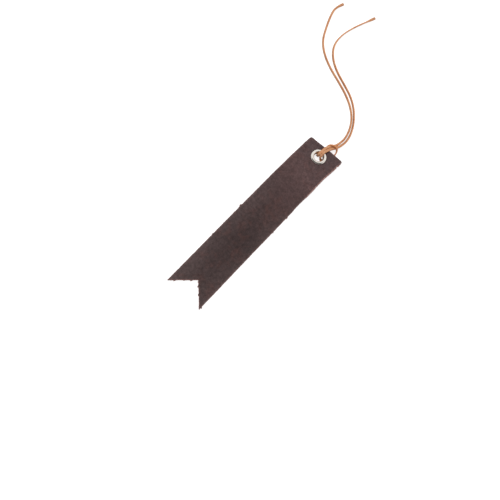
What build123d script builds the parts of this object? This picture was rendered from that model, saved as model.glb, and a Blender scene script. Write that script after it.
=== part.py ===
from build123d import *
import math
import os

# A hand-cut leather bookmark lying grain side up on a table: a swallow-tailed strip, a metal eyelet
# set with a washer, and a flat lace hitched through the eyelet, whose two free tails lie on the table.
# Millimetres. X runs along the strip towards the eyelet, Y to the left of it, Z up, table at zero.

# Leather strip
strip_length = 156.6
strip_width = 30.0
leather_thickness = 1.8
notch_depth = 15.3
notch_side_offset = -0.4
end_slant = 1.3
end_corner_radius = 1.0

# The strip lies flat, then lifts in two opposite arcs, because the eyelet and the lace lie under its end
lift_run = 40.0
lift_margin = 6.0

# Eyelet, pressed from sheet metal: a barrel, a domed flange on the grain side, a split rolled lip behind
eyelet_setback = 10.1
eyelet_side_offset = -0.8
bore_diameter = 7.0
sheet_thickness = 0.35
flange_width = 2.2
funnel_share = 0.4
crown_share = 0.13
lip_radius = 0.4
lip_split_count = 6
lip_split_width = 0.3
barrel_clearance = 0.05

# Washer between the leather and the rolled lip
washer_inset = 0.1
washer_thickness = 0.5
washer_edge_radius = 0.2

# Flat lace, doubled: two strands lie over the grain side and a leg of each lies under the flesh side
lace_width = 2.0
lace_thickness = 1.0
lace_clearance = 0.1
strand_gap = 0.1
strand_forward = 1.2
strand_azimuth = -14.0
strand_fold_radius = 0.8
left_leg_azimuth = 0.0
right_leg_azimuth = -35.0
leg_overhang = 1.6

# The bight: the lace's middle, which stands on edge past the strip's end and crosses over both strands
bight_reach = 6.0
bight_corner_radius = 2.2
bight_start_height = 1.4
bight_crossing_gap = 0.15

# Free tails, on edge. Each turns on a line across the strip, just past the bight
tail_hinge_reach = 8.9
tail_hinge_gap = 0.3
tail_arc_share = 0.45

# Routes of the tails on the table, from the hinge line: along X, along Y
left_tail_route = [
    (0.0, 0.0),
    (7.8, -0.8),
    (16.2, 1.3),
    (24.8, 6.0),
    (31.8, 13.5),
    (37.1, 23.0),
    (41.3, 34.0),
    (44.9, 44.8),
    (50.6, 56.0),
    (58.6, 64.8),
    (69.7, 70.2),
    (80.6, 74.6),
    (89.2, 76.5),
    (96.0, 74.0),
]
right_tail_route = [
    (0.0, 0.0),
    (7.3, -0.9),
    (15.7, 1.0),
    (24.7, 5.9),
    (32.6, 12.7),
    (38.5, 20.9),
    (42.6, 31.1),
    (46.7, 42.0),
    (52.9, 51.6),
    (62.0, 58.3),
    (73.3, 59.6),
    (86.0, 57.1),
    (97.1, 53.3),
    (105.4, 50.7),
]

# How far a cutting shape runs past what it cuts
overrun = 5.0

# Sizes worked out from those above
quarter_turn = 90
barrel_radius = bore_diameter / 2 + sheet_thickness / 2
barrel_outer_radius = bore_diameter / 2 + sheet_thickness
hole_radius = barrel_outer_radius + barrel_clearance
lip_height = lip_radius + sheet_thickness / 2
end_lift = lace_clearance + lace_thickness + lace_clearance + lip_height + washer_thickness
flesh_z = end_lift
grain_z = end_lift + leather_thickness
flange_radius = barrel_outer_radius + flange_width
funnel_radius = funnel_share * flange_width
crown_radius = barrel_radius + funnel_radius + crown_share * flange_width
flange_arc_radius = flange_radius - sheet_thickness / 2 - crown_radius
crest_z = grain_z + flange_arc_radius + sheet_thickness / 2
washer_radius = flange_radius - washer_inset
end_x = strip_length / 2
eyelet_x = end_x - eyelet_setback
eyelet_y = eyelet_side_offset
strand_spacing = lace_width + strand_gap
strand_top_z = crest_z + lace_clearance + lace_thickness / 2
tail_hinge_x = end_x + tail_hinge_reach
tail_lying_z = lace_clearance + lace_width / 2


def level_direction(azimuth):
    angle = math.radians(azimuth)
    return Vector(math.cos(angle), math.sin(angle), 0)


def along_azimuth(distance_x, azimuth):
    """The run along an azimuth that covers a distance in X."""
    return distance_x / math.cos(math.radians(azimuth))


# Leather strip

def strip_side_line(offset):
    """One face of the strip seen from the side, at an offset from the middle of the leather."""
    lift_end = eyelet_x - flange_radius - lift_margin
    lift_start = lift_end - lift_run
    angle = 2 * math.degrees(math.atan2(end_lift, lift_run))
    radius = lift_run / 2 / math.sin(math.radians(angle))
    height = leather_thickness / 2 + offset
    flat = Line((-end_x - overrun, height), (lift_start, height))
    lift = JernArc(flat @ 1, (1, 0), radius - offset, angle)
    level = JernArc(lift @ 1, lift % 1, radius + offset, -angle)
    end = Line(level @ 1, (end_x + overrun, height + end_lift))
    return [flat, lift, level, end]


def make_leather_strip():
    flesh = strip_side_line(-leather_thickness / 2)
    grain = strip_side_line(leather_thickness / 2)
    tail_cap = Line(flesh[0] @ 0, grain[0] @ 0)
    end_cap = Line(flesh[-1] @ 1, grain[-1] @ 1)
    side = make_face(flesh + grain + [tail_cap, end_cap])
    blank = extrude(Plane.XZ * side, amount=strip_width, both=True)

    outline = make_face(Polyline(
        (-end_x, strip_width / 2),
        (notch_depth - end_x, notch_side_offset),
        (-end_x, -strip_width / 2),
        (end_x, -strip_width / 2),
        (end_x - end_slant, strip_width / 2),
        close=True,
    ))
    end_corners = outline.vertices().sort_by(Axis.X)[-2:]
    outline = fillet(end_corners, end_corner_radius)
    cutter = extrude(outline, amount=grain_z + overrun)

    hole = Cylinder(hole_radius, 2 * (grain_z + overrun))
    return (blank & cutter) - Pos(eyelet_x, eyelet_y, 0) * hole


# Eyelet and washer

def make_eyelet():
    lip_z = flesh_z - washer_thickness
    crest_line_z = crest_z - sheet_thickness / 2
    lip = JernArc((barrel_radius + 2 * lip_radius, lip_z), (0, -1), lip_radius, -2 * quarter_turn)
    barrel = Line(lip @ 1, (barrel_radius, crest_line_z - funnel_radius))
    funnel = JernArc(barrel @ 1, (0, 1), funnel_radius, -quarter_turn)
    crown = Line(funnel @ 1, (crown_radius, crest_line_z))
    rim = JernArc(crown @ 1, (1, 0), flange_arc_radius, -quarter_turn)
    section = trace(lip + barrel + funnel + crown + rim, sheet_thickness)
    eyelet = revolve(Plane.XZ * section, Axis.Z)

    split_length = 2 * lip_radius + sheet_thickness + overrun
    split = Box(split_length, lip_split_width, lip_height, align=(Align.MIN, Align.CENTER, Align.MAX))
    for place in PolarLocations(barrel_radius, lip_split_count):
        eyelet -= Pos(0, 0, lip_z) * place * split
    return Pos(eyelet_x, eyelet_y, 0) * eyelet


def make_washer():
    ring = Cylinder(washer_radius, washer_thickness, align=(Align.CENTER, Align.CENTER, Align.MAX))
    edge = ring.edges().filter_by(GeomType.CIRCLE).sort_by(Axis.Z)[0]
    ring = fillet(edge, washer_edge_radius)
    ring -= Cylinder(hole_radius, 2 * (washer_thickness + overrun))
    return Pos(eyelet_x, eyelet_y, flesh_z) * ring


# Lace

def upright_plane(foot, azimuth):
    """A plane whose first axis runs level along the azimuth and whose second points up."""
    return Plane(origin=foot, x_dir=level_direction(azimuth), z_dir=level_direction(azimuth - quarter_turn))


def lace_run(plane, points, radii):
    """Flat lace along a route in one plane, with its width square to that plane."""
    path = FilletPolyline(*points, radius=radii)
    return extrude(plane * trace(path, lace_thickness), amount=lace_width / 2, both=True)


def strand_post(side):
    """Where a strand passes through the bore: side is 1 for the left strand and -1 for the right."""
    forward = level_direction(strand_azimuth) * strand_forward
    across = level_direction(strand_azimuth + quarter_turn) * (side * strand_spacing / 2)
    return Vector(eyelet_x, eyelet_y, 0) + forward + across


def strand_slope(side):
    """How steeply a strand falls from the eyelet's crown if it just clears the end of the leather."""
    fall = strand_top_z - (grain_z + lace_clearance + lace_thickness / 2)
    run = along_azimuth(end_x - strand_post(side).X, strand_azimuth) - (crown_radius - strand_forward)
    return fall / run


def strand_height(slope, x):
    """The height of the middle of a strand past the eyelet's crown."""
    crown_x = eyelet_x + crown_radius * math.cos(math.radians(strand_azimuth))
    return strand_top_z - slope * along_azimuth(x - crown_x, strand_azimuth)


strand_fall = min(strand_slope(1), strand_slope(-1))
tail_hinge_z = strand_height(strand_fall, tail_hinge_x)


def make_strand(side):
    """Up through the bore, over the flange and the end of the strip, and under the bight."""
    post = strand_post(side)
    exit_x = tail_hinge_x - lace_width / 2 - tail_hinge_gap
    exit_run = along_azimuth(exit_x - post.X, strand_azimuth)
    points = [
        (0, flesh_z),
        (0, strand_top_z),
        (crown_radius - strand_forward, strand_top_z),
        (exit_run, tail_hinge_z),
    ]
    return lace_run(upright_plane(post, strand_azimuth), points, [strand_fold_radius, strand_fold_radius])


def leg_length(side, azimuth):
    return along_azimuth(end_x + leg_overhang - strand_post(side).X, azimuth)


def make_leg(side, azimuth):
    """Down through the bore, under the rolled lip and out past the end of the strip."""
    under_z = lace_clearance + lace_thickness / 2
    points = [(0, grain_z), (0, under_z), (leg_length(side, azimuth), under_z)]
    return lace_run(upright_plane(strand_post(side), azimuth), points, [strand_fold_radius])


def leg_end_y(side, azimuth):
    return (strand_post(side) + level_direction(azimuth) * leg_length(side, azimuth)).Y


def make_bight():
    """The on-edge loop that joins both legs and crosses over the strands."""
    start = Vector(end_x + leg_overhang - lace_thickness / 2, 0, bight_start_height)
    bar_x = end_x + bight_reach
    half_diagonal = math.hypot(lace_width, lace_thickness) / 2
    strand_top = strand_height(strand_fall, bar_x) + lace_thickness / 2
    bar = Vector(bar_x, 0, strand_top + bight_crossing_gap + half_diagonal)
    climb = bar - start
    plane = Plane(origin=start, x_dir=climb, z_dir=climb.cross(Vector(0, 1, 0)))
    left_y = leg_end_y(1, left_leg_azimuth)
    right_y = leg_end_y(-1, right_leg_azimuth)
    points = [(0, left_y), (climb.length, left_y), (climb.length, right_y), (0, right_y)]
    return lace_run(plane, points, [bight_corner_radius, bight_corner_radius])


def make_lace_hitch():
    hitch = make_bight()
    for side, leg_azimuth in ((1, left_leg_azimuth), (-1, right_leg_azimuth)):
        hitch += make_strand(side)
        hitch += make_leg(side, leg_azimuth)
    return hitch


def tail_root(side):
    post = strand_post(side)
    run = along_azimuth(tail_hinge_x - post.X, strand_azimuth)
    return Vector(tail_hinge_x, (post + level_direction(strand_azimuth) * run).Y, tail_hinge_z)


def arc_radii(points):
    """The largest arcs that the runs beside each inner point allow."""
    radii = []
    for before, point, after in zip(points, points[1:], points[2:]):
        turn = (point - before).get_angle(after - point)
        shorter = min((point - before).length, (after - point).length)
        radii.append(tail_arc_share * shorter / math.tan(math.radians(turn / 2)))
    return radii


def make_tail(side, route):
    """A free tail on edge, from a round end on its hinge line down to the table."""
    root = tail_root(side)
    points = [root]
    for along, across in route[1:]:
        points.append(Vector(root.X + along, root.Y + across, tail_lying_z))
    radii = arc_radii(points)
    path = FilletPolyline(*points, radius=radii)
    start = path % 0
    level = start.cross(Vector(0, 0, 1))
    section = Plane(origin=root, x_dir=level, z_dir=start) * Rectangle(lace_thickness, lace_width)
    tail = sweep(section, path=path)
    print("tail root", root, "arc radii", [round(radius, 1) for radius in radii])
    print("length", round(path.length, 1), "volume", round(tail.volume, 1),
          "section times length", round(lace_thickness * lace_width * path.length, 1))
    end_disc = Plane(origin=root, x_dir=start, z_dir=level) * Circle(lace_width / 2)
    return tail + extrude(end_disc, amount=lace_thickness / 2, both=True)


parts = {
    "leather_strip": make_leather_strip(),
    "eyelet": make_eyelet(),
    "washer": make_washer(),
    "lace_hitch": make_lace_hitch(),
    "lace_tail_left": make_tail(1, left_tail_route),
    "lace_tail_right": make_tail(-1, right_tail_route),
}

os.makedirs("parts", exist_ok=True)
for name, part in parts.items():
    export_step(part, f"parts/{name}.step")
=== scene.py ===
import math
import random

import bpy
import numpy as np
from mathutils import Color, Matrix, Quaternion, Vector, noise


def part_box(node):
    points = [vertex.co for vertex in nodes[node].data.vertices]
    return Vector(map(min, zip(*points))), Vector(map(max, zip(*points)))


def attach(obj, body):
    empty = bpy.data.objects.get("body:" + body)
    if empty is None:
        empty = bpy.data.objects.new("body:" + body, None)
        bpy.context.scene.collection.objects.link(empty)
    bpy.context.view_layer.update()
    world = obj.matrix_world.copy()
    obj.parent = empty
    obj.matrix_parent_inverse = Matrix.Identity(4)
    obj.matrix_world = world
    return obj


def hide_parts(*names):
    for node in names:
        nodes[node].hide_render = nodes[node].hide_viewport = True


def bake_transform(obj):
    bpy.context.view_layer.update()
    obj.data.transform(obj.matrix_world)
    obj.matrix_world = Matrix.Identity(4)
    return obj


# A hand-cut leather bookmark on a white table: a swallow-tailed strip with ragged cut edges, a nickel
# eyelet and washer, and a flat tan lace hitched through the eyelet. Metres, in the frame of the solids.

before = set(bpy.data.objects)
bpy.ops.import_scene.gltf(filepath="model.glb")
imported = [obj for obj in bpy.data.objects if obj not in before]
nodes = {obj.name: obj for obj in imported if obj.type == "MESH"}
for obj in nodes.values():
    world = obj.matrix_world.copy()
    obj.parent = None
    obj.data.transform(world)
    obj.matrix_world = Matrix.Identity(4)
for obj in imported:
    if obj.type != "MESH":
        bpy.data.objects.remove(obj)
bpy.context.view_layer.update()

# Places taken from the solids. The strip is centred on the origin
strip_low, strip_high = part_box("leather_strip")
eyelet_low, eyelet_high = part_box("eyelet")
tail_x = strip_low.x
end_x = -strip_low.x
half_width = strip_high.y
eyelet_middle = (eyelet_low + eyelet_high) / 2
end_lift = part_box("washer")[1].z

# Camera, as the photograph was taken
camera_place = Vector((-0.25836, -0.06474, 0.66799))
camera_target = Vector((-0.02027, -0.01166, 0.0))
camera_roll = 30.6
camera_lens_mm = 72.0

# Leather strip, laid out as the solid is
leather_thickness = 0.0018
notch_depth = 0.0153
notch_y = -0.0004
notch_run = 0.050
notch_power = 1.5
end_slant = 0.0013
end_corner_radius = 0.0016
end_run = 0.0045
lift_run = 0.040
lift_margin = 0.006

# The strip's end drifts to the right, as hand-cut leather does
drift_start_x = 0.030
drift_at_end = 0.00125
drift_power = 1.3

# Cells of the strip's mesh
cell = 0.0004
edge_cell = 0.0002
edge_band = 0.0012
hole_radius = 0.0039
hole_block = 0.0053
hole_ring_count = 3

# Cut edges: how they are rounded, how far they wander, and how deep into the strip that reaches.
# A table of shares gives the sizes of the features, each with its share of the whole
edge_round = 0.00016
round_turns = (30, 60, 90)
grain_row_count = 2
wall_row_count = 7
wobble_reach = 0.0025
side_wobble = 0.00011
tail_wobble = 0.00018
wobble_size_shares = ((0.0034, 1.0), (0.0011, 0.7), (0.00045, 0.55))
left_edge_seed = 1.0
right_edge_seed = 2.0
tail_edge_seed = 3.0
end_edge_seed = 4.0
wall_roughness = 0.00008
wall_roughness_size = 0.0004
wall_layer_squeeze = 3
surface_swell = 0.00006
swell_size_shares = ((0.006, 1.0), (0.0022, 0.5))

# Marks of the hand-cut edges: a place along the edge, how far it stands out there, half of its length
left_edge_marks = [
    (0.0000, 0.00028, 0.2000),
    (-0.0080, 0.00012, 0.0450),
    (-0.0307, 0.00030, 0.0009),
    (-0.0003, 0.00075, 0.0011),
    (0.0450, -0.00012, 0.0060),
]
right_edge_marks = [
    (-0.0200, -0.00018, 0.0450),
    (0.0010, 0.00030, 0.0007),
    (0.0166, 0.00045, 0.0008),
    (0.0200, -0.00020, 0.0280),
    (0.0310, -0.00034, 0.0110),
    (0.0560, -0.00048, 0.0150),
    (0.0728, -0.00075, 0.0008),
    (0.0740, 0.00030, 0.0006),
    (-0.0762, 0.00090, 0.0006),
]
tail_edge_marks = [
    (0.0090, -0.00070, 0.0170),
    (-0.0100, -0.00040, 0.0090),
    (-0.0075, 0.00070, 0.0007),
    (-0.0033, 0.00130, 0.0007),
    (-0.0010, 0.00060, 0.0007),
    (0.0031, 0.00110, 0.0007),
    (0.0068, 0.00040, 0.0006),
    (0.0115, 0.00080, 0.0008),
]
end_edge_marks = [
    (-0.0035, 0.00020, 0.0100),
]

# The right edge near the eyelet is cut at a slant, so its grain side is cut back and its lower layers show
slant_cut_x = 0.0575
slant_cut_half = 0.0205
slant_cut_back = 0.0009
slant_cut_power = 0.25
skive_power = 0.5

# Worn line along the edges of the grain side
wear_reach = 0.0016

# Loose fibres of the cut edges: how many, how thickly they stand, how long, and which way they point, with
# their fan in radians. Shares in pairs are the least and the most that is drawn
fibre_seed = 11
fibre_count = 1500
plain_fibre_weight = 0.35
tail_fibre_weight = 3.0
slant_fibre_weight = 2.5
fibre_length = 0.00036
fibre_least_share = 0.5
fibre_length_rate = 1.6
longest_fibre = 0.0018
fibre_radius = 0.000028
fibre_radius_shares = (0.6, 1.4)
fibre_depth_shares = (0.1, 0.95)
fibre_fan = 0.55
fibre_rise_shares = (-0.35, 0.45)
fibre_curl_shares = (-0.4, 0.4)
fibre_curl_rise_shares = (-0.3, 0.3)
floor_clearance = 0.00003

# A fibre's rings: their places along it and their widths, as shares, and the turns of their corners
fibre_ring_shares = ((0.0, 1.0), (0.55, 0.8))
fibre_turns = (0, 120, 240)

# Tufts of torn fibres
tuft_fibre_count = 14
tuft_spread = 0.0004
tuft_fibre_length = 0.0009
tuft_length_shares = (0.4, 1.1)
tuft_least_mark = 0.00025

# Eyelet
bore_radius = 0.0035
bore_margin = 0.0001

# Lace
lace_width = 0.0020
lace_thickness = 0.0010
lace_corner = 0.00024
corner_turns = (0, 30, 60, 90)
lace_swell_share = 0.03
lace_swell_length = 0.004
lace_step_count = 12
lace_spline_order = 3
tail_root_x = 0.0872
seam_x = 0.0853

# Routes of the free tails from their roots, along X and Y, and how far the lace has turned over to its
# left: it stands on edge at 0 degrees, lies flat at 90 and stands on its other edge at 180
tail_root_height = 0.00283
left_tail_root_y = -0.00446
right_tail_root_y = -0.00662
left_tail_route = [
    (0.0000, 0.0000),
    (0.0078, -0.0008),
    (0.0162, 0.0013),
    (0.0248, 0.0060),
    (0.0318, 0.0135),
    (0.0371, 0.0230),
    (0.0413, 0.0340),
    (0.0449, 0.0448),
    (0.0506, 0.0560),
    (0.0586, 0.0648),
    (0.0697, 0.0702),
    (0.0806, 0.0746),
    (0.0892, 0.0765),
    (0.0960, 0.0740),
]
left_tail_turns = (136, 150, 160, 170, 172, 172, 172, 172, 168, 162, 156, 150, 144, 78)
right_tail_route = [
    (0.0000, 0.0000),
    (0.0073, -0.0009),
    (0.0157, 0.0010),
    (0.0247, 0.0059),
    (0.0326, 0.0127),
    (0.0385, 0.0209),
    (0.0426, 0.0311),
    (0.0467, 0.0420),
    (0.0529, 0.0516),
    (0.0620, 0.0583),
    (0.0733, 0.0596),
    (0.0860, 0.0571),
    (0.0971, 0.0533),
    (0.1054, 0.0507),
]
right_tail_turns = (136, 150, 160, 170, 174, 176, 174, 170, 164, 160, 162, 170, 168, 78)

# Route of the hitch from the left tail to the right one: a point, then the way that the lace's width
# points there
hitch_route = [
    ((0.0850, -0.00400, 0.00325), (0.25, 0.85, -0.45)),
    ((0.0832, -0.00290, 0.00375), (0.40, 0.88, -0.15)),
    ((0.0814, -0.00190, 0.00415), (0.42, 0.90, -0.05)),
    ((0.0796, -0.00095, 0.00450), (0.38, 0.92, 0.00)),
    ((0.0776, -0.00020, 0.00485), (0.28, 0.96, 0.00)),
    ((0.0754, 0.00010, 0.00520), (0.18, 0.98, 0.00)),
    ((0.0732, 0.00025, 0.00595), (0.10, 0.97, 0.20)),
    ((0.0716, 0.00025, 0.00620), (0.05, 0.97, 0.22)),
    ((0.0699, 0.00045, 0.00585), (-0.05, 0.98, 0.18)),
    ((0.0695, 0.00070, 0.00400), (-0.15, 0.98, 0.00)),
    ((0.0696, 0.00085, 0.00220), (-0.20, 0.98, 0.00)),
    ((0.0697, 0.00090, 0.00060), (-0.20, 0.98, 0.00)),
    ((0.0714, 0.00070, 0.00050), (-0.10, 0.99, 0.00)),
    ((0.0745, 0.00030, 0.00055), (0.00, 1.00, 0.00)),
    ((0.0773, 0.00005, 0.00065), (-0.05, 1.00, 0.00)),
    ((0.0795, -0.00020, 0.00100), (-0.20, 0.95, 0.10)),
    ((0.0811, -0.00025, 0.00210), (-0.55, 0.75, 0.30)),
    ((0.0818, -0.00050, 0.00370), (-0.80, 0.50, 0.35)),
    ((0.0823, -0.00140, 0.00500), (-0.60, 0.25, 0.75)),
    ((0.08275, -0.00290, 0.00535), (-0.25, 0.05, 0.95)),
    ((0.0832, -0.00470, 0.00525), (-0.10, 0.00, 1.00)),
    ((0.0830, -0.00575, 0.00500), (0.00, 0.00, 1.00)),
    ((0.0825, -0.00695, 0.00410), (0.05, 0.00, 1.00)),
    ((0.0815, -0.00775, 0.00290), (0.00, 0.00, 1.00)),
    ((0.0799, -0.00820, 0.00190), (0.00, 0.00, 1.00)),
    ((0.0780, -0.00845, 0.00130), (0.00, 0.00, 1.00)),
    ((0.0751, -0.00850, 0.00118), (0.10, 0.10, 1.00)),
    ((0.0723, -0.00790, 0.00112), (0.50, 0.40, 0.70)),
    ((0.0706, -0.00600, 0.00072), (0.80, 0.50, 0.15)),
    ((0.0694, -0.00430, 0.00054), (0.90, 0.45, 0.00)),
    ((0.06950, -0.00200, 0.00060), (0.75, 0.66, 0.00)),
    ((0.06940, -0.00180, 0.00220), (0.65, 0.76, 0.00)),
    ((0.06910, -0.00160, 0.00400), (0.60, 0.80, 0.00)),
    ((0.06880, -0.00165, 0.00590), (0.50, 0.84, 0.15)),
    ((0.0702, -0.00150, 0.00660), (0.25, 0.93, 0.26)),
    ((0.0718, -0.00140, 0.00645), (0.15, 0.94, 0.28)),
    ((0.0732, -0.00145, 0.00610), (0.12, 0.96, 0.22)),
    ((0.0752, -0.00180, 0.00520), (0.18, 0.98, 0.00)),
    ((0.0774, -0.00240, 0.00485), (0.28, 0.96, 0.00)),
    ((0.0794, -0.00325, 0.00450), (0.38, 0.92, 0.00)),
    ((0.0812, -0.00420, 0.00415), (0.42, 0.90, -0.05)),
    ((0.0830, -0.00505, 0.00375), (0.40, 0.88, -0.15)),
    ((0.0850, -0.00585, 0.00325), (0.25, 0.85, -0.45)),
]

# Light and floor. Metal mirrors a white sky with a dark panel in it: the way that the panel lies, and the
# sky's level by how squarely that way is faced
floor_half_size = 3.0
floor_colour_share = 0.65
floor_glow = 0.72
world_light = 0.5
dark_panel_way = Vector((-0.70, -0.30, 0.65))
dark_panel_shares = [(0.42, 1.0), (0.60, 0.18)]
softbox_size = 1.6
softbox_power = 11.0
softbox_place = Vector((0.30, 0.45, 1.25))

# Values of the looks. A colour has its usual values, from 0 to 255. A table of shares gives colours, or
# levels of grey, at places from 0 to 1. A noise is its features to a metre, its detail, its roughness and,
# where it has one, its distortion. A bump is its depth in metres and its strength. The constants of a
# finish go by the names of the shader's sockets
full_level = 255
noise_middle = 0.5
plain_stretch = (1.0, 1.0, 1.0)

# Grain side: waxed tones from the tail to the eyelet, rubbed sides, reddish clouds, pebbled grain and
# painted shade in its creases
grain_tone_shares = [
    (0.00, (75, 61, 60)),
    (0.20, (70, 56, 55)),
    (0.36, (61, 48, 47)),
    (0.54, (72, 56, 55)),
    (0.70, (83, 64, 63)),
    (0.86, (96, 74, 73)),
    (0.98, (86, 69, 69)),
]
tone_sway = 0.05
tone_noise = (26.0, 2.0, 0.5)
rubbed_across_shares = [(0.05, 0.16), (0.35, 0.0), (0.6, 0.04), (0.95, 0.30)]
rubbed_along_shares = [(0.55, 1.0), (0.75, 0.0)]
rubbed_colour = (112, 95, 94)
cloud_noise = (150.0, 4.0, 0.6, 0.5)
cloud_bump = (0.0004, 0.30)
rust_shares = [(0.50, 0.0), (0.75, 0.35)]
rust_colour = (104, 68, 62)
blotch_noise = (420.0, 3.0, 0.7, 0.3)
blotch_shares = [(0.30, 0.72), (0.70, 1.28)]
pebbles_per_metre = 1500.0
pebble_bump = (0.00012, 0.55)
# Painted shade: the creases between the pebbles are darkened
crease_shade_shares = [(0.0, 0.80), (0.16, 1.0)]
crease_shade_strength_share = 0.6
speck_noise = (900.0, 4.0, 0.75)
speck_bump = (0.00008, 0.5)
speck_shares = [(0.32, 0.78), (0.68, 1.22)]
speck_strength_share = 0.8
worn_speck_limits = (0.30, 1.20)
worn_colour = (168, 130, 124)
grain_roughness_shares = [(0.3, 0.50), (0.7, 0.68)]
grain_finish = {"Specular IOR Level": 0.18}

# Flesh side
flesh_tone_shares = [(0.30, (88, 50, 43)), (0.50, (128, 82, 72)), (0.70, (164, 114, 100))]
swirl_noise = (230.0, 5.0, 0.65, 1.2)
swirl_bump = (0.0005, 0.5)
swirl_share = 0.55
nap_stretch = (1.0, 0.45, 1.0)
nap_noise = (1500.0, 5.0, 0.7, 0.6)
nap_bump = (0.0003, 0.8)
nap_share = 0.45
flesh_finish = {
    "Roughness": 0.95,
    "Specular IOR Level": 0.15,
    "Sheen Weight": 0.25,
    "Sheen Roughness": 0.6,
}

# Cut edges and their fibres
cut_tone_shares = [(0.32, (138, 96, 91)), (0.52, (190, 144, 137)), (0.72, (224, 186, 178))]
layer_stretch = (0.3, 0.3, 1.6)
layer_noise = (1400.0, 5.0, 0.7)
fray_noise = (2200.0, 4.0, 0.7)
fray_bump = (0.0002, 0.7)
cut_finish = {"Roughness": 0.95, "Specular IOR Level": 0.15}

# Nickel plate: bright outside; in the bore a rougher copy with darker tones, which are painted shade
bright_tone_shares = [(0.35, (222, 215, 206)), (0.65, (240, 234, 226))]
bright_roughness_shares = [(0.3, 0.12), (0.7, 0.22)]
# Painted shade: the bore's tones are darker than the plate outside
bore_shade_tone_shares = [(0.35, (158, 146, 136)), (0.65, (194, 182, 171))]
dull_roughness_shares = [(0.3, 0.30), (0.7, 0.45)]
haze_noise = (420.0, 4.0, 0.6)
mark_stretch = (1.0, 1.0, 0.3)
mark_noise = (1700.0, 3.0, 0.6)
mark_bump = (0.00003, 0.25)
nickel_finish = {"Metallic": 1.0}

# Lace leather: smooth faces, matt cut edges, and corners darker than the faces
lace_face_tone_shares = [(0.32, (174, 118, 82)), (0.5, (212, 156, 115)), (0.68, (233, 187, 144))]
lace_face_finish = {"Roughness": 0.55, "Specular IOR Level": 0.35}
lace_edge_tone_shares = [(0.32, (202, 131, 84)), (0.5, (236, 166, 116)), (0.68, (246, 196, 147))]
lace_edge_finish = {"Roughness": 0.8, "Specular IOR Level": 0.35}
streak_stretch = (1.0, 0.012, 1.0)
streak_noise = (700.0, 4.0, 0.6)
streak_bump = (0.0001, 0.4)
streak_share = 0.5
fleck_stretch = (1.0, 0.004, 1.0)
fleck_noise = (120.0, 3.0, 0.5)
fleck_share = 0.5
quarter_stretch = (1.0, 4.0, 1.0)
corner_tint_shares = [(0.75, 1.0), (0.81, 0.0), (0.94, 0.0), (1.00, 1.0)]
corner_tint_colour = (246, 226, 208)


# Shader helpers

def linear_colour(red, green, blue):
    """A colour from its usual 0 to 255 values."""
    usual = Color((red / full_level, green / full_level, blue / full_level))
    return (*usual.from_srgb_to_scene_linear(), 1)


def grey(level):
    return (level, level, level, 1)


white = grey(1)


def new_material(name, finish):
    """A material whose shader has the constants of a finish; gives its node tree and its shader too."""
    material = bpy.data.materials.new(name)
    material.use_nodes = True
    tree = material.node_tree
    shader = tree.nodes["Principled BSDF"]
    for socket, value in finish.items():
        shader.inputs[socket].default_value = value
    return material, tree, shader


def add_node(tree, kind, inputs=None, **settings):
    """A node of one kind; each of its inputs takes a value or another node's output."""
    made = tree.nodes.new(kind)
    for setting, value in settings.items():
        setattr(made, setting, value)
    for socket, value in (inputs or {}).items():
        if isinstance(value, bpy.types.NodeSocket):
            tree.links.new(value, made.inputs[socket])
        else:
            made.inputs[socket].default_value = value
    return made


def stretched(tree, coordinates, stretch):
    inputs = {"Vector": coordinates, "Scale": stretch}
    return add_node(tree, "ShaderNodeMapping", inputs).outputs["Vector"]


def object_coordinates(tree, stretch=plain_stretch):
    return stretched(tree, add_node(tree, "ShaderNodeTexCoord").outputs["Object"], stretch)


def noise_value(tree, coordinates, scale, detail, roughness, distortion=0):
    inputs = {
        "Vector": coordinates,
        "Scale": scale,
        "Detail": detail,
        "Roughness": roughness,
        "Distortion": distortion,
    }
    return add_node(tree, "ShaderNodeTexNoise", inputs).outputs["Fac"]


def ramp(tree, value, stops):
    """A colour that follows a value, from colours at places between 0 and 1."""
    made = add_node(tree, "ShaderNodeValToRGB", {"Fac": value})
    elements = made.color_ramp.elements
    for element, (place, colour) in ((elements[0], stops[0]), (elements[-1], stops[-1])):
        element.position = place
        element.color = colour
    for place, colour in stops[1:-1]:
        elements.new(place).color = colour
    return made.outputs["Color"]


def tone_ramp(tree, value, shares):
    return ramp(tree, value, [(place, linear_colour(*colour)) for place, colour in shares])


def grey_ramp(tree, value, shares):
    return ramp(tree, value, [(place, grey(level)) for place, level in shares])


def mix_colours(tree, share, first, second, blend_type="MIX"):
    inputs = {"Fac": share, "Color1": first, "Color2": second}
    return add_node(tree, "ShaderNodeMixRGB", inputs, blend_type=blend_type).outputs["Color"]


def shaded(tree, colour, shade, share=1):
    """A colour times a shade, or a share of the way to that."""
    return mix_colours(tree, share, colour, shade, "MULTIPLY")


def calculate(tree, operation, first, second):
    inputs = {0: first, 1: second}
    return add_node(tree, "ShaderNodeMath", inputs, operation=operation).outputs[0]


def weighed(tree, first, first_share, second, second_share):
    """Two values added up by their shares."""
    first_part = calculate(tree, "MULTIPLY", first, first_share)
    second_part = calculate(tree, "MULTIPLY", second, second_share)
    return calculate(tree, "ADD", first_part, second_part)


def bump(tree, height, distance, strength, normal=None):
    inputs = {"Height": height, "Distance": distance, "Strength": strength}
    if normal is not None:
        inputs["Normal"] = normal
    return add_node(tree, "ShaderNodeBump", inputs).outputs["Normal"]


def share_between(tree, value, low, high):
    """Nothing at the low end, one at the high end."""
    inputs = {"Value": value, "From Min": low, "From Max": high}
    return add_node(tree, "ShaderNodeMapRange", inputs).outputs["Result"]


# Materials

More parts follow.
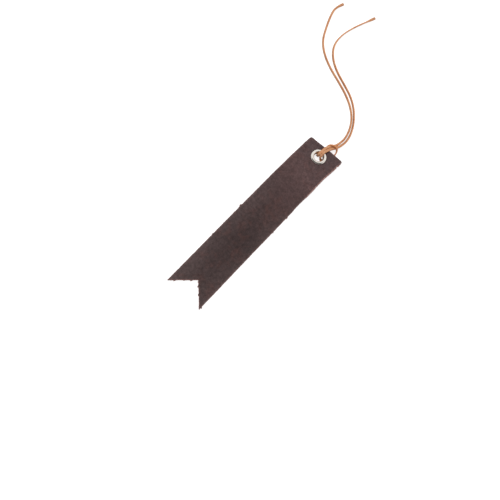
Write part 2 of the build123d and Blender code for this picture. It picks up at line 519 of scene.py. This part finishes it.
def make_grain_material():
    """Dark waxed grain side: broad tones along the strip, reddish clouds and fine pebbled grain, with
    painted shade in the grain's creases.
    """
    material, tree, shader = new_material("strip_grain", grain_finish)
    place = object_coordinates(tree)
    axes = add_node(tree, "ShaderNodeSeparateXYZ", {"Vector": place}).outputs
    from_middle = calculate(tree, "SUBTRACT", noise_value(tree, place, *tone_noise), noise_middle)
    swayed = calculate(tree, "ADD", axes["X"], calculate(tree, "MULTIPLY", from_middle, tone_sway))
    along = share_between(tree, swayed, tail_x, end_x)
    across = share_between(tree, axes["Y"], -half_width, half_width)
    colour = tone_ramp(tree, along, grain_tone_shares)
    rubbed_across = grey_ramp(tree, across, rubbed_across_shares)
    rubbed_along = grey_ramp(tree, along, rubbed_along_shares)
    rubbed = calculate(tree, "MULTIPLY", rubbed_across, rubbed_along)
    colour = mix_colours(tree, rubbed, colour, linear_colour(*rubbed_colour))

    clouds = noise_value(tree, place, *cloud_noise)
    colour = mix_colours(tree, grey_ramp(tree, clouds, rust_shares), colour, linear_colour(*rust_colour))
    blotches = noise_value(tree, place, *blotch_noise)
    colour = shaded(tree, colour, grey_ramp(tree, blotches, blotch_shares))
    pebbles = add_node(tree, "ShaderNodeTexVoronoi", {"Vector": place, "Scale": pebbles_per_metre},
                       feature="DISTANCE_TO_EDGE").outputs["Distance"]
    # Painted shade darkens the creases between the pebbles
    colour = shaded(tree, colour, grey_ramp(tree, pebbles, crease_shade_shares), crease_shade_strength_share)
    specks = noise_value(tree, place, *speck_noise)
    colour = shaded(tree, colour, grey_ramp(tree, specks, speck_shares), speck_strength_share)
    wear = add_node(tree, "ShaderNodeAttribute", attribute_name="wear").outputs["Fac"]
    worn = calculate(tree, "MULTIPLY", wear, share_between(tree, specks, *worn_speck_limits))
    colour = mix_colours(tree, worn, colour, linear_colour(*worn_colour))

    coarse = bump(tree, clouds, *cloud_bump)
    fine = bump(tree, pebbles, *pebble_bump, coarse)
    tree.links.new(colour, shader.inputs["Base Color"])
    tree.links.new(grey_ramp(tree, clouds, grain_roughness_shares), shader.inputs["Roughness"])
    tree.links.new(bump(tree, specks, *speck_bump, fine), shader.inputs["Normal"])
    return material


def make_flesh_material():
    """Reddish suede flesh side, with a matted nap."""
    material, tree, shader = new_material("strip_flesh", flesh_finish)
    swirl = noise_value(tree, object_coordinates(tree), *swirl_noise)
    nap = noise_value(tree, object_coordinates(tree, nap_stretch), *nap_noise)
    blend = weighed(tree, swirl, swirl_share, nap, nap_share)
    tree.links.new(tone_ramp(tree, blend, flesh_tone_shares), shader.inputs["Base Color"])
    rough = bump(tree, swirl, *swirl_bump)
    tree.links.new(bump(tree, nap, *nap_bump, rough), shader.inputs["Normal"])
    return material


def make_cut_edge_material():
    """Raw cut edge and its loose fibres."""
    material, tree, shader = new_material("strip_cut_edge", cut_finish)
    layers = noise_value(tree, object_coordinates(tree, layer_stretch), *layer_noise)
    tree.links.new(tone_ramp(tree, layers, cut_tone_shares), shader.inputs["Base Color"])
    frayed = noise_value(tree, object_coordinates(tree), *fray_noise)
    tree.links.new(bump(tree, frayed, *fray_bump), shader.inputs["Normal"])
    return material


def make_nickel_material(name, tone_shares, roughness_shares):
    """Nickel plate with faint handling marks."""
    material, tree, shader = new_material(name, nickel_finish)
    haze = noise_value(tree, object_coordinates(tree), *haze_noise)
    tree.links.new(tone_ramp(tree, haze, tone_shares), shader.inputs["Base Color"])
    tree.links.new(grey_ramp(tree, haze, roughness_shares), shader.inputs["Roughness"])
    marks = noise_value(tree, object_coordinates(tree, mark_stretch), *mark_noise)
    tree.links.new(bump(tree, marks, *mark_bump), shader.inputs["Normal"])
    return material


def lace_coordinates(tree, stretch):
    """The lace's own coordinates: along it in metres, and around it."""
    return stretched(tree, add_node(tree, "ShaderNodeUVMap", uv_map="lace").outputs["UV"], stretch)


def corner_tint_share(tree):
    """One at the corners of the lace's section, nothing in the middle of its faces."""
    quarters = lace_coordinates(tree, quarter_stretch)
    around = add_node(tree, "ShaderNodeSeparateXYZ", {"Vector": quarters}).outputs["Y"]
    return grey_ramp(tree, calculate(tree, "MODULO", around, 1), corner_tint_shares)


def make_lace_material(name, tone_shares, finish):
    """Tan lace leather, streaked along its length and darker at its corners."""
    material, tree, shader = new_material(name, finish)
    streaks = noise_value(tree, lace_coordinates(tree, streak_stretch), *streak_noise)
    flecks = noise_value(tree, lace_coordinates(tree, fleck_stretch), *fleck_noise)
    blend = weighed(tree, streaks, streak_share, flecks, fleck_share)
    corner_tint = mix_colours(tree, corner_tint_share(tree), white, linear_colour(*corner_tint_colour))
    colour = shaded(tree, tone_ramp(tree, blend, tone_shares), corner_tint)
    tree.links.new(colour, shader.inputs["Base Color"])
    tree.links.new(bump(tree, streaks, *streak_bump), shader.inputs["Normal"])
    return material


def seen_rays(tree):
    """One for rays from the camera and for those that metal or glass sends on."""
    paths = add_node(tree, "ShaderNodeLightPath").outputs
    seen = calculate(tree, "MAXIMUM", paths["Is Camera Ray"], paths["Is Glossy Ray"])
    return calculate(tree, "MAXIMUM", seen, paths["Is Transmission Ray"])


def make_floor_material():
    """White floor that stays white to the camera and to metal, and keeps soft shadows."""
    material, tree, shader = new_material("floor_white", {
        "Base Color": grey(floor_colour_share),
        "Roughness": 1,
        "Specular IOR Level": 0,
        "Emission Color": white,
    })
    glow = calculate(tree, "MULTIPLY", seen_rays(tree), floor_glow)
    tree.links.new(glow, shader.inputs["Emission Strength"])
    return material


# Mesh helpers

def make_object(name, points, faces, materials, face_materials=None):
    mesh = bpy.data.meshes.new(name)
    mesh.from_pydata([tuple(point) for point in points], [], faces)
    for material in materials:
        mesh.materials.append(material)
    if face_materials is not None:
        mesh.polygons.foreach_set("material_index", face_materials)
    mesh.polygons.foreach_set("use_smooth", [True] * len(mesh.polygons))
    mesh.update()
    made = bpy.data.objects.new(name, mesh)
    bpy.context.scene.collection.objects.link(made)
    return made


def wobble(x, y, z, size):
    """Smooth noise between about -1 and 1, with features of one size."""
    return noise.noise(Vector((x, y, z)) / size)


# Leather strip

def spaced(*stops_and_steps):
    """Places from stop to stop, at a step between each two."""
    stops = stops_and_steps[::2]
    steps = stops_and_steps[1::2]
    places = [np.array(stops[:1])]
    for low, high, step in zip(stops, stops[1:], steps):
        places.append(np.linspace(low, high, round((high - low) / step) + 1)[1:])
    return np.concatenate(places)


def falling(distance, reach):
    """One at no distance, falling to nothing at the reach."""
    return np.clip(1 - distance / reach, 0, 1) ** 2


def lift(x):
    """How far the strip has risen from the table, in two opposite arcs."""
    share = np.clip((x - (eyelet_low.x - lift_margin)) / lift_run + 1, 0, 1)
    return end_lift * np.where(share < 0.5, 2 * share ** 2, 1 - 2 * (1 - share) ** 2)


def drift(x):
    share = np.clip((x - drift_start_x) / (end_x - drift_start_x), 0, 1)
    return -drift_at_end * share ** drift_power


def cut_line(places, marks, amount, seed):
    """How far a hand-cut edge stands out at places along it."""
    out = np.zeros(len(places))
    for size, share in wobble_size_shares:
        out += [amount * share * wobble(place, seed, share, size) for place in places]
    for middle, height, half_length in marks:
        out += height * np.clip(1 - ((places - middle) / half_length) ** 2, 0, 1) ** 2
    return out


def slant_cut(x):
    """How far the grain side is cut back from the flesh side on the right edge."""
    return slant_cut_back * np.clip(1 - ((x - slant_cut_x) / slant_cut_half) ** 2, 0, 1) ** slant_cut_power


def strip_grid():
    """Points of the strip's grain side and flesh side, inside their rounded edges, and the wear at each."""
    half = half_width - edge_round
    columns = spaced(-half, edge_cell, edge_band - half, cell, notch_y,
                     cell, half - edge_band, edge_cell, half)
    rows = spaced(tail_x, edge_cell, tail_x + edge_band, cell, end_x - edge_band, edge_cell, end_x)
    x, y = np.meshgrid(rows, columns, indexing="ij")
    from_tail = x - tail_x
    from_end = end_x - x
    from_side = half - np.abs(y)

    reach = np.where(y > notch_y, half - notch_y, half + notch_y)
    notch = edge_round + notch_depth * (1 - np.abs(y - notch_y) / reach)
    corner = np.clip(end_corner_radius - from_side, 0, end_corner_radius)
    rounding = end_corner_radius - np.sqrt(end_corner_radius ** 2 - corner ** 2)
    end_cut = edge_round + rounding + end_slant * (y + half) / (2 * half)
    left = cut_line(rows, left_edge_marks, side_wobble, left_edge_seed)[:, None]
    right = cut_line(rows, right_edge_marks, side_wobble, right_edge_seed)[:, None]
    tail = cut_line(columns, tail_edge_marks, tail_wobble, tail_edge_seed)[None, :]
    end = cut_line(columns, end_edge_marks, side_wobble, end_edge_seed)[None, :]

    side_share = falling(from_side, wobble_reach)
    flesh_y = y + np.where(y > 0, left, -right) * side_share + drift(x)
    y = flesh_y + np.where(columns < 0, slant_cut(rows)[:, None], 0) * side_share
    x += notch * np.clip(1 - from_tail / notch_run, 0, 1) ** notch_power
    x -= tail * falling(from_tail, wobble_reach)
    x -= end_cut * np.clip(1 - from_end / end_run, 0, 1)
    x += end * falling(from_end, wobble_reach)

    swell = np.zeros(x.shape)
    for index in np.ndindex(x.shape):
        for layer, (size, share) in enumerate(swell_size_shares):
            swell[index] += share * wobble(x[index], y[index], layer, size)
    grain = np.stack([x, y, lift(x) + leather_thickness + surface_swell * swell], axis=2)
    flesh = np.stack([x, flesh_y, lift(x)], axis=2)
    wear = falling(np.minimum(np.minimum(from_side, from_tail), from_end), wear_reach)
    return grain, flesh, wear


def block_loop(low_row, high_row, low_column, high_column):
    """Grid places round a block of cells, counter-clockwise from above."""
    loop = [(row, low_column) for row in range(low_row, high_row)]
    loop += [(high_row, column) for column in range(low_column, high_column)]
    loop += [(row, high_column) for row in range(high_row, low_row, -1)]
    loop += [(low_row, column) for column in range(high_column, low_column, -1)]
    return loop


class StripMesh:
    """Points and faces of the strip, as they are made."""

    def __init__(self):
        self.points = []
        self.wear = []
        self.faces = []
        self.kinds = []

    def add_points(self, points, wear=1.0):
        first = len(self.points)
        self.points.extend(points)
        self.wear.extend([wear] * len(points))
        return list(range(first, len(self.points)))

    def add_face(self, face, kind):
        self.faces.append(face)
        self.kinds.append(kind)

    def join_loops(self, outer, inner, kind, flip=False):
        """Faces between two loops of as many points; seen from above, counter-clockwise if not flipped."""
        for number in range(len(outer)):
            after = (number + 1) % len(outer)
            face = (outer[number], outer[after], inner[after], inner[number])
            self.add_face(face[::-1] if flip else face, kind)


grain_kind, edge_kind, flesh_kind = range(3)


def add_strip_side(mesh, grid, wear, kind, hole_rows, hole_columns, flip):
    """One side of the strip with its round hole; gives the loops of its outline and of its hole."""
    row_count, column_count = grid.shape[:2]
    numbers = {}
    for row in range(row_count):
        for column in range(column_count):
            inside_rows = hole_rows[0] < row < hole_rows[1]
            inside_columns = hole_columns[0] < column < hole_columns[1]
            if not (inside_rows and inside_columns):
                numbers[row, column] = mesh.add_points([grid[row, column]], wear[row, column])[0]
    for row in range(row_count - 1):
        for column in range(column_count - 1):
            corners = ((row, column), (row + 1, column), (row + 1, column + 1), (row, column + 1))
            in_hole = (hole_rows[0] <= row < hole_rows[1]) and (hole_columns[0] <= column < hole_columns[1])
            if not in_hole:
                face = tuple(numbers[corner] for corner in corners)
                mesh.add_face(face[::-1] if flip else face, kind)

    block = block_loop(*hole_rows, *hole_columns)
    ring = [numbers[place] for place in block]
    starts = np.array([grid[place] for place in block])
    centre = np.array(eyelet_middle)
    away = starts - centre
    away[:, 2] = 0
    circle = starts.copy()
    circle[:, :2] = (centre + hole_radius * away / np.linalg.norm(away, axis=1)[:, None])[:, :2]
    for number in range(1, hole_ring_count + 1):
        share = number / hole_ring_count
        inner = mesh.add_points(starts * (1 - share) + circle * share, 0.0)
        mesh.join_loops(ring, inner, kind, flip)
        ring = inner
    outline = [numbers[place] for place in block_loop(0, row_count - 1, 0, column_count - 1)]
    return outline, ring


def outward(loop):
    """Level directions that point out of a counter-clockwise loop."""
    along = np.roll(loop, -1, axis=0) - np.roll(loop, 1, axis=0)
    out = np.stack([along[:, 1], -along[:, 0], np.zeros(len(loop))], axis=1)
    return out / np.linalg.norm(out, axis=1)[:, None]


def wall_points(top, bottom, share):
    """Points part of the way down a cut edge, whose slant is flattest next to the grain side."""
    across = share ** skive_power
    points = top * (1 - across) + bottom * across
    points[..., 2] = top[..., 2] * (1 - share) + bottom[..., 2] * share
    return points


def add_strip_rim(mesh, top, bottom):
    """Rounded, fibrous cut edge between the outlines of the grain side and the flesh side."""
    top_points = np.array([mesh.points[number] for number in top])
    bottom_points = np.array([mesh.points[number] for number in bottom])
    out = outward(top_points)
    round_share = edge_round / leather_thickness
    rows = []
    for turn in round_turns:
        angle = math.radians(turn)
        rows.append((edge_round * math.sin(angle), round_share * (1 - math.cos(angle)), 0.0))
    for share in np.linspace(round_share, 1 - round_share, wall_row_count)[1:-1]:
        rows.append((edge_round, share, wall_roughness))
    rows += [(stand_out, 1 - share, rough) for stand_out, share, rough in rows[len(round_turns) - 1::-1]]

    upper = top
    for number, (stand_out, share, rough) in enumerate(rows):
        line = wall_points(top_points, bottom_points, share) + out * stand_out
        for place, direction in zip(line, out):
            x, y, z = place
            place += direction * rough * wobble(x, y, wall_layer_squeeze * z, wall_roughness_size)
        lower = mesh.add_points(line)
        kind = grain_kind if number < grain_row_count else edge_kind
        mesh.join_loops(upper, lower, kind, flip=True)
        upper = lower
    mesh.join_loops(upper, bottom, edge_kind, flip=True)
    return top_points, bottom_points, out


def nearest(lines, place):
    return int(np.argmin(np.abs(lines - place)))


def make_strip(materials):
    grain, flesh, wear = strip_grid()
    middle_row = nearest(grain[:, 0, 0], eyelet_middle.x)
    hole_rows = [nearest(grain[:, 0, 0], eyelet_middle.x + way * hole_block) for way in (-1, 1)]
    hole_columns = [nearest(grain[middle_row, :, 1], eyelet_middle.y + way * hole_block) for way in (-1, 1)]
    mesh = StripMesh()
    top, top_hole = add_strip_side(mesh, grain, wear, grain_kind, hole_rows, hole_columns, flip=False)
    bottom, bottom_hole = add_strip_side(mesh, flesh, wear, flesh_kind, hole_rows, hole_columns, flip=True)
    mesh.join_loops(top_hole, bottom_hole, edge_kind)
    edge = add_strip_rim(mesh, top, bottom)
    strip = make_object("leather_strip_visual", mesh.points, mesh.faces, materials, mesh.kinds)
    strip.data.attributes.new("wear", "FLOAT", "POINT").data.foreach_set("value", mesh.wear)
    return strip, edge


def add_fibre(points, faces, root, direction, length, radius, curl):
    """A closed three-sided hair that bends and tapers to a point."""
    first = len(points)
    side = direction.orthogonal().normalized()
    other = direction.cross(side)
    for share, thickness in fibre_ring_shares:
        middle = root + direction * length * share + curl * length * share ** 2
        for turn in fibre_turns:
            angle = math.radians(turn)
            points.append(middle + (side * math.cos(angle) + other * math.sin(angle)) * radius * thickness)
    points.append(root + direction * length + curl * length)
    for point in points[first:]:
        point.z = max(point.z, floor_clearance)
    count = len(fibre_turns)
    tip = len(points) - 1
    faces.append(tuple(range(first, first + count))[::-1])
    for corner in range(count):
        low = first + corner
        after = first + (corner + 1) % count
        faces.append((low, after, after + count, low + count))
        faces.append((low + count, after + count, tip))


def notch_line(y):
    """Where the swallowtail is cut at a place across the strip."""
    return tail_x + notch_depth * (1 - np.abs(y) / half_width)


def tuft_places():
    """Where torn fibres bunch: at the marks that stand out from the cut edges."""
    places = [(tail_x, way * half_width) for way in (-1, 1)]
    for marks, way in ((left_edge_marks, 1), (right_edge_marks, -1)):
        places += [(x, way * half_width) for x, height, _ in marks if height > tuft_least_mark]
    places += [(notch_line(y), y) for y, height, _ in tail_edge_marks if height > tuft_least_mark]
    return places


def make_fibres(edge, material):
    """Loose fibres along the cut edges: most on the swallowtail and on the slanted cut."""
    grain, flesh, out = edge
    draw = random.Random(fibre_seed)
    on_tail = grain[:, 0] < notch_line(grain[:, 1]) + edge_band
    on_slant = np.where(grain[:, 1] < 0, slant_cut(grain[:, 0]) / slant_cut_back, 0)
    weights = plain_fibre_weight + tail_fibre_weight * on_tail + slant_fibre_weight * on_slant
    roots = draw.choices(range(len(grain)), weights, k=fibre_count)
    lengths = [fibre_length * (fibre_least_share + draw.expovariate(fibre_length_rate)) for _ in roots]
    for place in tuft_places():
        distances = np.linalg.norm(grain[:, :2] - np.array(place), axis=1)
        near = np.flatnonzero(distances < distances.min() + tuft_spread)
        for _ in range(tuft_fibre_count):
            roots.append(int(draw.choice(near)))
            lengths.append(tuft_fibre_length * draw.uniform(*tuft_length_shares))

    points = []
    faces = []
    curl_limits = (fibre_curl_shares, fibre_curl_shares, fibre_curl_rise_shares)
    for number, length in zip(roots, lengths):
        depth = draw.uniform(*fibre_depth_shares)
        root = Vector(wall_points(grain[number], flesh[number], depth))
        level = Quaternion((0, 0, 1), draw.gauss(0, fibre_fan)) @ Vector(out[number])
        direction = (level + Vector((0, 0, draw.uniform(*fibre_rise_shares)))).normalized()
        curl = Vector([draw.uniform(*limits) for limits in curl_limits])
        radius = fibre_radius * draw.uniform(*fibre_radius_shares)
        add_fibre(points, faces, root, direction, min(length, longest_fibre), radius, curl)
    return make_object("strip_fibres", points, faces, [material])


def dress_strip():
    cut_edge = make_cut_edge_material()
    strip, edge = make_strip([make_grain_material(), cut_edge, make_flesh_material()])
    fibres = make_fibres(edge, cut_edge)
    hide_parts("leather_strip")
    for piece in (strip, fibres):
        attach(piece, "bookmark")


# Lace

def nurbs_samples(points):
    """Points along a smooth spline with these control points."""
    curve = bpy.data.curves.new("route", "CURVE")
    curve.dimensions = "3D"
    curve.resolution_u = lace_step_count
    spline = curve.splines.new("NURBS")
    spline.points.add(len(points) - 1)
    for control, point in zip(spline.points, points):
        control.co = (*point, 1.0)
    spline.order_u = lace_spline_order
    spline.use_endpoint_u = True
    carrier = bpy.data.objects.new("route", curve)
    mesh = bpy.data.meshes.new_from_object(carrier)
    samples = np.array([vertex.co for vertex in mesh.vertices])
    bpy.data.meshes.remove(mesh)
    bpy.data.curves.remove(curve)
    return samples


def tail_controls(route, root_y, turns):
    """Control points of a free tail from its root, and the way that its width points at each."""
    places = np.array(route) + np.array([tail_root_x, root_y])
    ways = np.gradient(places, axis=0)
    points = []
    widths = []
    for number, ((x, y), (way_x, way_y), turn) in enumerate(zip(places, ways, turns)):
        angle = math.radians(turn)
        half_height = (lace_width * abs(math.cos(angle)) + lace_thickness * abs(math.sin(angle))) / 2
        height = tail_root_height if number == 0 else half_height * (1 + lace_swell_share)
        points.append((x, y, height))
        level = math.sin(angle) / math.hypot(way_x, way_y)
        widths.append((-way_y * level, way_x * level, math.cos(angle)))
    return points, widths


def lace_section():
    """Points round the lace's section with its rounded corners: across its width, through its thickness."""
    flat_across = lace_width / 2 - lace_corner
    flat_through = lace_thickness / 2 - lace_corner
    section = []
    for quarter, (side_across, side_through) in enumerate(((1, 1), (-1, 1), (-1, -1), (1, -1))):
        for turn in corner_turns:
            angle = math.radians(quarter * corner_turns[-1] + turn)
            across = side_across * flat_across + lace_corner * math.cos(angle)
            through = side_through * flat_through + lace_corner * math.sin(angle)
            section.append((across, through))
    return section


def make_ribbon(name, samples, widths, distances, materials):
    """A closed flat ribbon along sampled points; its narrow sides take the second material."""
    section = lace_section()
    count = len(section)
    half_count = count // 2
    tangents = np.gradient(samples, axis=0)
    tangents /= np.linalg.norm(tangents, axis=1)[:, None]
    across = widths - (widths * tangents).sum(axis=1)[:, None] * tangents
    across /= np.linalg.norm(across, axis=1)[:, None]
    through = np.cross(tangents, across)
    points = []
    for number, middle in enumerate(samples):
        swell = 1 + lace_swell_share * wobble(distances[number], 0, 0, lace_swell_length)
        for part_across, part_through in section:
            out = across[number] * part_across * swell
            points.append(middle + out + through[number] * part_through * swell)
    faces = []
    kinds = []
    uvs = []
    for ring in range(len(samples) - 1):
        for corner in range(count):
            after = (corner + 1) % count
            faces.append((ring * count + corner, ring * count + after,
                          (ring + 1) * count + after, (ring + 1) * count + corner))
            kinds.append(1 if after % half_count == 0 else 0)
            for step, edge in ((0, corner), (0, corner + 1), (1, corner + 1), (1, corner)):
                uvs.append((distances[ring + step], edge / count))
    last = (len(samples) - 1) * count
    cap_v = (half_count - 1) / (2 * count)
    for cap in (list(range(count))[::-1], list(range(last, last + count))):
        faces.append(tuple(cap))
        kinds.append(1)
        uvs.extend((distances[0], cap_v) for _ in cap)
    ribbon = make_object(name, points, faces, materials, kinds)
    layer = ribbon.data.uv_layers.new(name="lace")
    layer.data.foreach_set("uv", [value for uv in uvs for value in uv])
    return ribbon


def make_lace():
    """The whole lace on one smooth line, cut at two seams just past the bight."""
    left_points, left_widths = tail_controls(left_tail_route, left_tail_root_y, left_tail_turns)
    right_points, right_widths = tail_controls(right_tail_route, right_tail_root_y, right_tail_turns)
    hitch_points = [point for point, _ in hitch_route]
    hitch_widths = [width for _, width in hitch_route]
    samples = nurbs_samples(left_points[::-1] + hitch_points + right_points)
    widths = nurbs_samples(left_widths[::-1] + hitch_widths + right_widths)
    distances = np.concatenate([[0], np.cumsum(np.linalg.norm(np.diff(samples, axis=0), axis=1))])
    past_seam = np.flatnonzero(samples[:, 0] < seam_x)
    first = past_seam[0]
    last = past_seam[-1]
    materials = [
        make_lace_material("lace_face", lace_face_tone_shares, lace_face_finish),
        make_lace_material("lace_edge", lace_edge_tone_shares, lace_edge_finish),
    ]
    spans = {
        "lace_tail_left_visual": slice(0, first + 1),
        "lace_hitch_visual": slice(first, last + 1),
        "lace_tail_right_visual": slice(last, len(samples)),
    }
    pieces = {}
    for name, span in spans.items():
        pieces[name] = make_ribbon(name, samples[span], widths[span], distances[span], materials)
    return pieces, {name: samples[span] for name, span in spans.items()}


def dress_lace():
    pieces, lines = make_lace()
    hitch = pieces["lace_hitch_visual"]
    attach(hitch, "bookmark")
    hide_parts("lace_hitch")
    for side, root_y in (("left", left_tail_root_y), ("right", right_tail_root_y)):
        tail = pieces[f"lace_tail_{side}_visual"]
        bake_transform(tail)
        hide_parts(f"lace_tail_{side}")


# Eyelet and washer

def dress_metal():
    """Bright plate outside; inside the eyelet's bore a rougher copy whose darker tones are painted shade.
    """
    bright = make_nickel_material("eyelet_nickel", bright_tone_shares, bright_roughness_shares)
    # Painted shade: a darker copy of the plate for the inside of the bore
    bore_shaded_nickel = make_nickel_material("eyelet_bore_painted_shade", bore_shade_tone_shares, dull_roughness_shares)
    for name in ("eyelet", "washer"):
        mesh = nodes[name].data
        mesh.materials.clear()
        mesh.materials.append(bright)
    eyelet = nodes["eyelet"]
    eyelet.data.materials.append(bore_shaded_nickel)
    for face in eyelet.data.polygons:
        middle = eyelet.matrix_world @ face.center
        from_axis = math.hypot(middle.x - eyelet_middle.x, middle.y - eyelet_middle.y)
        face.material_index = 1 if from_axis < bore_radius + bore_margin else 0


# Stage

def make_camera():
    data = bpy.data.cameras.new("camera")
    data.lens = camera_lens_mm
    camera = bpy.data.objects.new("camera", data)
    aim = (camera_target - camera_place).to_track_quat("-Z", "Y")
    camera.rotation_mode = "QUATERNION"
    camera.rotation_quaternion = aim @ Quaternion((0, 0, 1), math.radians(camera_roll))
    camera.location = camera_place
    bpy.context.scene.collection.objects.link(camera)
    bpy.context.scene.camera = camera


def make_stage():
    size = floor_half_size
    corners = [(-size, -size, 0), (size, -size, 0), (size, size, 0), (-size, size, 0)]
    floor = make_object("floor", corners, [(0, 1, 2, 3)], [make_floor_material()])

    world = bpy.data.worlds.new("studio")
    world.use_nodes = True
    tree = world.node_tree
    sky = add_node(tree, "ShaderNodeTexCoord").outputs["Generated"]
    facing = add_node(tree, "ShaderNodeVectorMath", {0: sky, 1: dark_panel_way}, operation="DOT_PRODUCT")
    mirrored = grey_ramp(tree, facing.outputs["Value"], dark_panel_shares)
    paths = add_node(tree, "ShaderNodeLightPath").outputs
    clear = calculate(tree, "MAXIMUM", paths["Is Camera Ray"], paths["Is Transmission Ray"])
    shiny = calculate(tree, "MULTIPLY", paths["Is Glossy Ray"], mirrored)
    lighting = calculate(tree, "MULTIPLY", paths["Is Diffuse Ray"], world_light)
    strength = calculate(tree, "MAXIMUM", calculate(tree, "MAXIMUM", clear, shiny), lighting)
    background = tree.nodes["Background"]
    background.inputs["Color"].default_value = white
    tree.links.new(strength, background.inputs["Strength"])
    bpy.context.scene.world = world

    light = bpy.data.lights.new("softbox", "AREA")
    light.size = softbox_size
    light.energy = softbox_power
    softbox = bpy.data.objects.new("softbox", light)
    softbox.location = softbox_place
    softbox.visible_glossy = False
    softbox.rotation_mode = "QUATERNION"
    softbox.rotation_quaternion = (-softbox_place).to_track_quat("-Z", "Y")
    bpy.context.scene.collection.objects.link(softbox)


bpy.context.scene.view_settings.view_transform = "Standard"
make_camera()
make_stage()
dress_strip()
dress_lace()
dress_metal()
